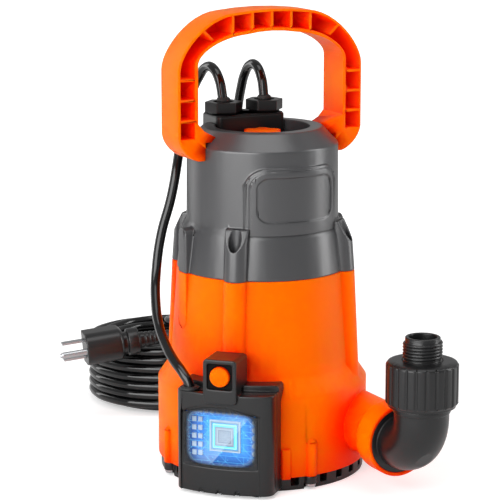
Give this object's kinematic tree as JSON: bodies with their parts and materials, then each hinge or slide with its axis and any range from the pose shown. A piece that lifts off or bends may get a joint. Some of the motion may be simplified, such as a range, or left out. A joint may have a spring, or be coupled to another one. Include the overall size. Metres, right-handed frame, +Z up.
{
  "type": "submersible sump pump",
  "caption": "Submersible sump pump with carry handle, swivel hose outlet, water-level sensor box with mode button, and a coiled power cord with plug.",
  "frame": {"origin": "on the pump's vertical axis, at the level of the floor it stands on", "axes": "+Z up along the motor's axis, -Y towards the front with the bare panel and the outlet, +X to the outlet's side"},
  "size_m": [0.1758, 0.4192, 0.3296],
  "materials": {
    "orange_plastic": "satin",
    "grey_plastic": "satin",
    "dark_plastic": "satin",
    "black_plastic": "satin",
    "cord_rubber": "satin",
    "seal_rubber": "matte",
    "steel": "satin",
    "laminated_steel": "matte",
    "aluminium": "satin",
    "brass": "satin",
    "copper_wire": "gloss",
    "capacitor_can": "satin",
    "window_plastic": "gloss",
    "board": "satin",
    "board_metal": "satin",
    "board_black": "satin"
  },
  "bodies": {
    "pump": {"strainer_base": "dark_plastic", "base_screws": "steel", "suction_plate": "black_plastic", "suction_screws": "steel", "pump_casing": "orange_plastic", "shaft_seal": "seal_rubber", "seal_plate": "aluminium", "lower_bearing": "steel", "motor_sleeve": "aluminium", "motor_stator": "laminated_steel", "stator_windings": "copper_wire", "upper_bracket": "aluminium", "upper_bearing": "steel", "tie_bolts": "steel", "run_capacitor": "capacitor_can", "terminal_block": "capacitor_can", "casing_oring": "seal_rubber", "motor_cover": "grey_plastic", "cover_screws": "steel", "vent_plug": "orange_plastic", "vent_plug_seal": "seal_rubber", "gland_block": "dark_plastic", "power_gland_nut": "dark_plastic", "sensor_gland_nut": "dark_plastic", "power_cord_seal": "seal_rubber", "sensor_cord_seal": "seal_rubber", "carry_handle": "orange_plastic", "handle_screws": "steel", "outlet_elbow": "dark_plastic", "outlet_oring": "seal_rubber", "hose_adapter": "dark_plastic", "adapter_gasket": "seal_rubber", "sensor_housing": "dark_plastic", "sensor_mount_screws": "steel", "control_board": "board", "controller_chip": "board_metal", "board_parts": "board_black", "sensor_probes": "steel", "sensor_cover": "dark_plastic", "sensor_window": "window_plastic", "button_switch": "capacitor_can", "sensor_cord_grommet": "seal_rubber", "sensor_cord": "cord_rubber", "power_cord": "cord_rubber", "power_cord_coil": "cord_rubber", "power_cord_coil_core": "cord_rubber", "power_cord_tail": "cord_rubber", "plug_body": "dark_plastic", "plug_blades": "steel", "plug_ground_pin": "steel"},
    "rotor": {"motor_shaft": "steel", "motor_rotor": "laminated_steel", "impeller": "black_plastic", "impeller_nut": "brass"},
    "mode_button": {"mode_button": "orange_plastic"},
    "union_nut": {"union_nut": "dark_plastic"}
  },
  "joints": [
    {"name": "rotor_spin", "type": "hinge", "parent": "pump", "child": "rotor", "pos_m": [0, 0, 0.05], "axis": [0, 0, 1], "continuous": true},
    {"name": "button_press", "type": "slide", "parent": "pump", "child": "mode_button", "axis": [0.7071, 0.7071, 0], "range_m": [0, 0.0015], "stiffness_N_per_m": 600, "springref_m": -0.0004},
    {"name": "union_nut_turn", "type": "hinge", "parent": "pump", "child": "union_nut", "pos_m": [0.05, -0.1385, 0.085], "axis": [0, 0, 1], "continuous": true}
  ]
}
